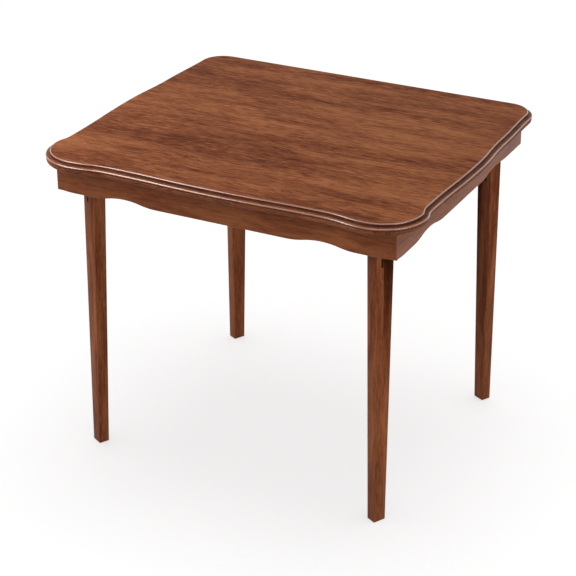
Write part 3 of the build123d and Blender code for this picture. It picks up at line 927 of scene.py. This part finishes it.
@dataclass
class FoldingLegs:
    """Four tapered legs, each turned a quarter from the last, with a saw kerf for its brace."""

    apron: Apron
    turn: float = 61.3
    lean: float = 1.0
    width: float = 46.6
    thickness: float = 29.1
    taper_near: float = 4.3
    taper_far: float = 12.9
    taper_inner: float = 5.1
    square_drop: float = 31.0
    above_pin: float = 16.0
    hinge_drop: float = 33.0
    kerf_width: float = 5.0
    kerf_offset: float = 6.3
    kerf_outer_drop: float = 79.0
    kerf_inner_drop: float = 107.0
    kerf_end_radius: float = 2.3
    arris: float = 1.3
    foot_arris: float = 0.8
    insets: dict[Corner, tuple[float, float]] = field(default_factory=lambda: {
        Corner.FRONT_RIGHT: (41.5, 37.9),
        Corner.BACK_RIGHT: (32.9, 45.5),
        Corner.BACK_LEFT: (66.0, 37.5),
        Corner.FRONT_LEFT: (33.0, 47.0),
    })

    @property
    def hinge_height(self) -> float:
        """Height of the hinge pins above the floor."""
        return self.apron.board.underside - self.hinge_drop

    def section(self, level: float, near: float, far: float, inner: float) -> LegSection:
        """Size the leg at a level.

        Args:
            level: Height above the hinge pin.
            near: What is planed off the face nearer the kerf.
            far: What is planed off the face across from it.
            inner: What is planed off the inner face.

        Returns:
            The section there.
        """
        shift = level * math.tan(math.radians(self.lean))
        half_width, half_thick = self.width / 2, self.thickness / 2
        return LegSection(near - half_width, half_width - far, shift - half_thick, shift + half_thick - inner, level)

    def blank(self) -> bmesh.types.BMesh:
        """Build a leg without its kerf, in its own frame with the hinge pin at the origin.

        Returns:
            Its mesh with rounded long edges.
        """
        top = self.section(self.above_pin, 0.0, 0.0, 0.0)
        rest = (
            self.section(-self.square_drop, 0.0, 0.0, 0.0),
            self.section(-self.hinge_height, self.taper_near, self.taper_far, self.taper_inner),
        )
        bm = bmesh.new()
        for across, along in ((top.left, top.outer), (top.right, top.outer), (top.right, top.inner), (top.left, top.inner)):
            bm.verts.new((across, along, top.level))
        bmesh.ops.contextual_create(bm, geom=bm.verts[:])
        face, before = next(iter(bm.faces)), top
        for after in rest:
            grown = bmesh.ops.extrude_face_region(bm, geom=[face])["geom"]
            face = of_kind(grown, bmesh.types.BMFace)[0]
            ratio = Vector((after.spans.x / before.spans.x, after.spans.y / before.spans.y, 1.0))
            bmesh.ops.scale(bm, vec=ratio, space=Matrix.Translation(-before.middle), verts=face.verts)
            bmesh.ops.translate(bm, vec=after.middle - before.middle, verts=face.verts)
            before = after
        bmesh.ops.recalc_face_normals(bm, faces=bm.faces)
        upright = [edge for edge in bm.edges if abs(edge.verts[0].co.z - edge.verts[1].co.z) > self.arris]
        round_edges(bm, upright, self.arris, 3)
        floor = min(vert.co.z for vert in bm.verts)
        foot = [edge for edge in bm.edges if max(vert.co.z for vert in edge.verts) < floor + self.foot_arris]
        round_edges(bm, foot, self.foot_arris, 2)
        return bm

    def cut_kerf(self, bm: bmesh.types.BMesh) -> None:
        """Saw the kerf down from the leg's top.

        Args:
            bm: The leg in its own frame.
        """
        near = -self.kerf_offset - self.kerf_width / 2
        far = -self.kerf_offset + self.kerf_width / 2
        for place in (near, far):
            bmesh.ops.bisect_plane(
                bm, geom=bm.verts[:] + bm.edges[:] + bm.faces[:], dist=1e-5,
                plane_co=(place, 0.0, 0.0), plane_no=(1.0, 0.0, 0.0),
            )
        depth = -(self.kerf_outer_drop + self.kerf_inner_drop) / 2
        floor_point = Vector((0.0, 0.0, depth))
        floor_up = Vector((0.0, self.kerf_inner_drop - self.kerf_outer_drop, self.thickness)).normalized()
        strip = [face for face in bm.faces if near < face.calc_center_median().x < far]
        edges = list({edge for face in strip for edge in face.edges})
        verts = list({vert for face in strip for vert in face.verts})
        bmesh.ops.bisect_plane(
            bm, geom=verts + edges + strip, dist=1e-5, plane_co=floor_point, plane_no=floor_up,
        )
        waste = [
            face for face in bm.faces
            if near < face.calc_center_median().x < far
            and (face.calc_center_median() - floor_point).dot(floor_up) > 0
        ]
        bmesh.ops.delete(bm, geom=waste, context="FACES")
        rim = [edge for edge in bm.edges if edge.is_boundary]
        rim_verts = {vert for edge in rim for vert in edge.verts}
        floor_edges = []
        for place in (near, far):
            ends = [
                vert for vert in rim_verts
                if abs(vert.co.x - place) < 0.01 and abs((vert.co - floor_point).dot(floor_up)) < 0.01
            ]
            floor_edges += of_kind(bmesh.ops.contextual_create(bm, geom=ends)["edges"], bmesh.types.BMEdge)
        for place in (near, far):
            wall = [
                edge for edge in bm.edges
                if (edge.is_boundary or edge in floor_edges) and all(abs(vert.co.x - place) < 0.01 for vert in edge.verts)
            ]
            bmesh.ops.contextual_create(bm, geom=wall)
        close_holes(bm)
        round_edges(bm, floor_edges, self.kerf_end_radius, 4)

    def stand(self, corner: Corner) -> Matrix:
        """Place of a leg's own frame.

        Args:
            corner: The leg's corner.

        Returns:
            Its matrix in millimetres.
        """
        side_x, side_y = corner.side
        inset_x, inset_y = self.insets[corner]
        inner_x = self.apron.width / 2 - self.apron.thickness
        inner_y = self.apron.depth / 2 - self.apron.thickness
        place = Vector((
            side_x * (inner_x - inset_x), self.apron.middle + side_y * (inner_y - inset_y), self.hinge_height,
        ))
        return Matrix.Translation(place) @ Matrix.Rotation(math.radians(self.turn + 90 * corner.quarter), 4, "Z")

    def build(self) -> list[bpy.types.Object]:
        """Build the four legs.

        Returns:
            Their pieces.
        """
        pieces = []
        for corner in Corner:
            finish = StainedWood(
                "stained_leg_" + corner.label, Grain.ALONG_Z, shift=9.3 + corner.quarter * 2.3,
                patch_length=0.26, patch_width=0.020, streak_length=0.11, streak_width=0.0045,
                patch_share=0.70, streak_share=0.60, line_share=0.45, stain_and_painted_light=1.12,
            )
            bm = self.blank()
            self.cut_kerf(bm)
            pieces.append(finish_piece(
                bm, "tapered_leg_" + corner.label, finish.make(), "folding_leg_" + corner.label,
                ("leg_" + corner.label,), self.stand(corner),
            ))
        return pieces


@dataclass
class Screws:
    """Countersunk cross-slotted screws of the hinges, brace lugs and corner blocks."""

    legs: FoldingLegs
    head_radius: float = 3.4
    shank_radius: float = 1.8
    rim: float = 0.25
    slot_span: float = 3.6
    slot_depth: float = 1.0
    slot_taper: float = 0.62
    point: float = 3.0
    sides: int = 24
    plate_thickness: float = 2.0
    plate_length: float = 14.0
    plate_edge: float = 6.5
    side_clearance: float = 0.4
    bracket_half_length: float = 18.0
    lug_inset: float = 34.0
    lug_before: float = 10.0
    lug_after: float = 12.0
    lug_reach: float = 18.0
    link_gap: float = 0.4
    link_thickness: float = 2.0
    block_leg: float = 26.0
    block_height: float = 46.0
    block_length: float = 56.0
    block_share: float = 0.32

    def one(self, bm: bmesh.types.BMesh, length: float, stand: Matrix) -> None:
        """Add a screw that points up, its head's flat face at zero.

        Args:
            bm: Mesh that gets it.
            length: Its length.
            stand: Its place.
        """
        own = bmesh.new()
        ring = bmesh.ops.create_circle(own, cap_ends=False, segments=self.sides, radius=self.head_radius)["verts"]
        rim = list({edge for vert in ring for edge in vert.link_edges})
        loop = rim
        steps = (
            (1.0, self.rim),
            (self.shank_radius / self.head_radius, self.head_radius - self.shank_radius - self.rim),
            (1.0, length - self.point - self.head_radius + self.shank_radius),
            (0.12, self.point),
        )
        for ratio, rise in steps:
            grown = bmesh.ops.extrude_edge_only(own, edges=loop)["geom"]
            verts = of_kind(grown, bmesh.types.BMVert)
            loop = [edge for edge in of_kind(grown, bmesh.types.BMEdge) if all(vert in verts for vert in edge.verts)]
            bmesh.ops.scale(own, vec=(ratio, ratio, 1.0), verts=verts)
            bmesh.ops.translate(own, vec=(0.0, 0.0, rise), verts=verts)
        bmesh.ops.contextual_create(own, geom=loop)
        grid = bmesh.ops.create_grid(own, x_segments=3, y_segments=3, size=self.slot_span / 2)["verts"]
        cells = list({face for vert in grid for face in vert.link_faces})
        corners = [face for face in cells if all(abs(part) > self.slot_span / 6 for part in face.calc_center_median().xy)]
        bmesh.ops.delete(own, geom=corners, context="FACES")
        cross = [face for face in cells if face.is_valid]
        outline = [edge for face in cross for edge in face.edges if edge.is_boundary]
        sunk = of_kind(bmesh.ops.extrude_face_region(own, geom=cross)["geom"], bmesh.types.BMVert)
        bmesh.ops.delete(own, geom=[face for face in cross if face.is_valid], context="FACES_ONLY")
        bmesh.ops.scale(own, vec=(self.slot_taper, self.slot_taper, 1.0), verts=sunk)
        bmesh.ops.translate(own, vec=(0.0, 0.0, self.slot_depth), verts=sunk)
        bmesh.ops.bridge_loops(own, edges=rim + list(set(outline)))
        bmesh.ops.recalc_face_normals(own, faces=own.faces)
        bmesh.ops.transform(own, matrix=stand, verts=own.verts)
        carried = bpy.data.meshes.new("one_screw")
        own.to_mesh(carried)
        own.free()
        bm.from_mesh(carried)
        bpy.data.meshes.remove(carried)

    def bracket_places(self) -> list[tuple[float, float]]:
        """Places of a hinge bracket's four screws in the leg's frame."""
        reach = self.legs.width / 2 + self.side_clearance - self.plate_edge
        along = self.bracket_half_length - self.plate_edge
        return [(side * reach, end * along) for side in (-1, 1) for end in (-1, 1)]

    def lug_places(self) -> list[tuple[float, float]]:
        """Places of a brace lug's two screws in the leg's frame."""
        middle = -self.legs.kerf_offset - self.link_gap / 2 - self.link_thickness / 2
        level = self.lug_inset + (self.lug_after - self.lug_before) / 2
        reach = self.lug_reach - self.plate_edge
        return [(middle - reach, level), (middle + reach, level)]

    def build(self) -> list[bpy.types.Object]:
        """Build the three groups of screws.

        Returns:
            Their pieces.
        """
        finish = PlatedSteel("plated_screws", bright=(0.60, 0.58, 0.52), dull=(0.42, 0.40, 0.36), polish=0.26).make()
        head_level = self.legs.hinge_drop - self.plate_thickness
        pieces = []
        for node, places in (("hinge_bracket_screws", self.bracket_places()), ("brace_lug_screws", self.lug_places())):
            bm = bmesh.new()
            for corner in Corner:
                for count, (across, along) in enumerate(places):
                    turn = Matrix.Rotation(0.7 * count + 1.3 * corner.quarter, 4, "Z")
                    place = Matrix.Translation((across, along, head_level))
                    self.one(bm, self.plate_length, self.legs.stand(corner) @ place @ turn)
            pieces.append(finish_piece(bm, node + "_set", finish, "table_frame", (node,), crease=35.0))
        bm = bmesh.new()
        for corner in Corner:
            side_x, side_y = corner.side
            apron = self.legs.apron
            inset = apron.thickness + self.block_leg * self.block_share
            place = Matrix.Translation((
                side_x * (apron.width / 2 - inset), apron.middle + side_y * (apron.depth / 2 - inset),
                apron.board.underside - self.block_height,
            ))
            self.one(bm, self.block_length, place @ Matrix.Rotation(0.9 * corner.quarter, 4, "Z"))
        node = "corner_block_screws"
        pieces.append(finish_piece(bm, node + "_set", finish, "table_frame", (node,), crease=35.0))
        return pieces


@dataclass
class CarriedPieces:
    """CAD pieces whose shapes stay and that only get a finish."""

    steel: tuple[str, ...] = (
        "hinge_bracket", "hinge_pin", "brace_lug", "brace_lug_pin", "leg_brace_pin",
        "upper_brace_link", "lower_brace_link", "knuckle_rivet",
    )
    bright: tuple[str, ...] = ("hinge_pin", "brace_lug_pin", "leg_brace_pin", "knuckle_rivet")
    plugs: tuple[str, ...] = ("pin_plug",)

    def dress(self) -> None:
        """Give every carried piece its finish."""
        plate = PlatedSteel("plated_plate").make()
        pin = PlatedSteel("plated_pins", bright=(0.66, 0.65, 0.62), dull=(0.48, 0.47, 0.45), polish=0.22).make()
        wood = PlainWood().make()
        plug = StainedWood("stained_plugs", Grain.ALONG_X, shift=6.1).make()
        for name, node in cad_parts.items():
            if name.startswith("corner_block_") and name != "corner_block_screws" or name == "apron_dowels":
                self.paint(node, wood)
            elif name.rsplit("_", 2)[0] in self.steel:
                self.paint(node, pin if name.rsplit("_", 2)[0] in self.bright else plate)
            elif name.rsplit("_", 2)[0] in self.plugs:
                self.paint(node, plug)

    def paint(self, node: bpy.types.Object, material: bpy.types.Material) -> None:
        """Put a finish in every slot of a carried piece."""
        if not node.material_slots:
            node.data.materials.append(material)
        for place in node.material_slots:
            place.material = material
        LOG.info("%s keeps its shape and gets %s", node.name, material.name)


@dataclass
class Studio:
    """Camera, pale floor, white background and soft lamps."""

    camera_place: tuple[float, float, float] = (1.618, -3.1955, 2.100)
    camera_turn: tuple[float, float, float] = (63.86, 0.0, 27.11)
    lens: float = 109.75
    sensor: float = 36.0
    floor_reach: float = 30.0
    ambient: float = 0.41

    def build(self) -> None:
        """Build the studio."""
        self.camera()
        floor = self.floor()
        self.world()
        self.lamp("top_softbox", (-1.45, -1.25, 2.15), (1.0, 2.4), (math.radians(32.0), math.radians(-36.0), 0.0), 45.0)
        self.lamp("right_softbox", (3.2, -1.2, 0.7), (1.8, 1.8), (0.0, math.radians(90.0), math.radians(-20.0)), 38.0)
        self.overhead()
        self.keep_off(floor, ("top_softbox", "right_softbox"))
        scene = bpy.context.scene
        scene.view_settings.view_transform = "Standard"

    def camera(self) -> None:
        """Set the camera at the photograph's angle."""
        data = bpy.data.cameras.new("camera")
        data.lens = self.lens
        data.sensor_width = self.sensor
        data.clip_end = 100.0
        camera = bpy.data.objects.new("camera", data)
        camera.location = self.camera_place
        camera.rotation_euler = [math.radians(turn) for turn in self.camera_turn]
        bpy.context.scene.collection.objects.link(camera)
        bpy.context.scene.camera = camera

    def floor(self) -> bpy.types.Object:
        """Lay the floor, which shows white outside the table's shadow.

        Returns:
            The floor.
        """
        bm = bmesh.new()
        bmesh.ops.create_grid(bm, x_segments=1, y_segments=1, size=self.floor_reach)
        mesh = bpy.data.meshes.new("studio_floor")
        bm.to_mesh(mesh)
        bm.free()
        floor = bpy.data.objects.new("studio_floor", mesh)
        floor.location = (0.0, 0.0, -0.0005)
        bpy.context.scene.collection.objects.link(floor)
        material, bench = new_material("pale_floor")
        shade = bench.add("ShaderNodeBsdfDiffuse", Color=(0.80, 0.80, 0.80, 1.0))
        glow = bench.add("ShaderNodeEmission", Color=(1.0, 1.0, 1.0, 1.0), Strength=0.615)
        both = bench.add("ShaderNodeAddShader")
        bench.join(shade.outputs[0], both.inputs[0])
        bench.join(glow.outputs[0], both.inputs[1])
        seen = bench.add("ShaderNodeMixShader")
        bench.join(self.shown(bench), seen.inputs[0])
        bench.join(shade.outputs[0], seen.inputs[1])
        bench.join(both.outputs[0], seen.inputs[2])
        bench.join(seen.outputs[0], bench.add("ShaderNodeOutputMaterial").inputs["Surface"])
        mesh.materials.append(material)
        return floor

    def shown(self, bench: Bench) -> bpy.types.NodeSocket:
        """Tell the rays that show the background, straight, in metal or through glass, from those that light."""
        path = bench.add("ShaderNodeLightPath")
        mirrored = bench.maths("MAXIMUM", path.outputs["Is Glossy Ray"], path.outputs["Is Transmission Ray"])
        return bench.maths("MAXIMUM", path.outputs["Is Camera Ray"], mirrored)

    def world(self) -> None:
        """Light evenly from all round and show white behind the table."""
        world = bpy.data.worlds.new("studio_world")
        bpy.context.scene.world = world
        world.use_nodes = True
        bench = Bench(world.node_tree)
        strength = bench.add("ShaderNodeMapRange")
        strength.inputs["To Min"].default_value = self.ambient
        strength.inputs["To Max"].default_value = 1.0
        bench.join(self.shown(bench), strength.inputs["Value"])
        sky = bench.add("ShaderNodeBackground", Color=(1.0, 1.0, 1.0, 1.0))
        bench.join(strength.outputs["Result"], sky.inputs["Strength"])
        bench.join(sky.outputs[0], bench.add("ShaderNodeOutputWorld").inputs["Surface"])

    def overhead(self) -> None:
        """Light softly from above, which lays the shadow under the board."""
        data = bpy.data.lights.new("overhead_fill", "SUN")
        data.energy = 0.40
        data.angle = math.radians(38.0)
        lamp = bpy.data.objects.new("overhead_fill", data)
        lamp.rotation_euler = (math.radians(-9.0), math.radians(-2.0), 0.0)
        bpy.context.scene.collection.objects.link(lamp)

    def keep_off(self, floor: bpy.types.Object, lamps: tuple[str, ...]) -> None:
        """Keep softboxes off the floor, so that it is lit evenly from above.

        Args:
            floor: The floor.
            lamps: Names of the softboxes.
        """
        unlit = bpy.data.collections.new("unlit_floor")
        unlit.objects.link(floor)
        unlit.collection_objects[0].light_linking.link_state = "EXCLUDE"
        for name in lamps:
            bpy.data.objects[name].light_linking.receiver_collection = unlit

    def lamp(
        self, name: str, place: tuple[float, float, float], size: tuple[float, float],
        turn: tuple[float, float, float], power: float,
    ) -> None:
        """Hang a softbox.

        Args:
            name: Its name.
            place: Where it hangs.
            size: Its width and length.
            turn: How it is turned from facing down.
            power: Its power in watts.
        """
        data = bpy.data.lights.new(name, "AREA")
        data.shape = "RECTANGLE"
        data.size, data.size_y = size
        data.energy = power
        lamp = bpy.data.objects.new(name, data)
        lamp.location = place
        lamp.rotation_euler = turn
        bpy.context.scene.collection.objects.link(lamp)


def main() -> None:
    """Build the studio and dress the table."""
    logging.basicConfig(level=logging.INFO, format="%(name)s: %(message)s")
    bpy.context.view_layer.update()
    Studio().build()
    board = Board()
    board.build()
    apron = Apron(board)
    apron.build()
    legs = FoldingLegs(apron)
    legs.build()
    Screws(legs).build()
    CarriedPieces().dress()


if __name__ == "__main__":
    main()
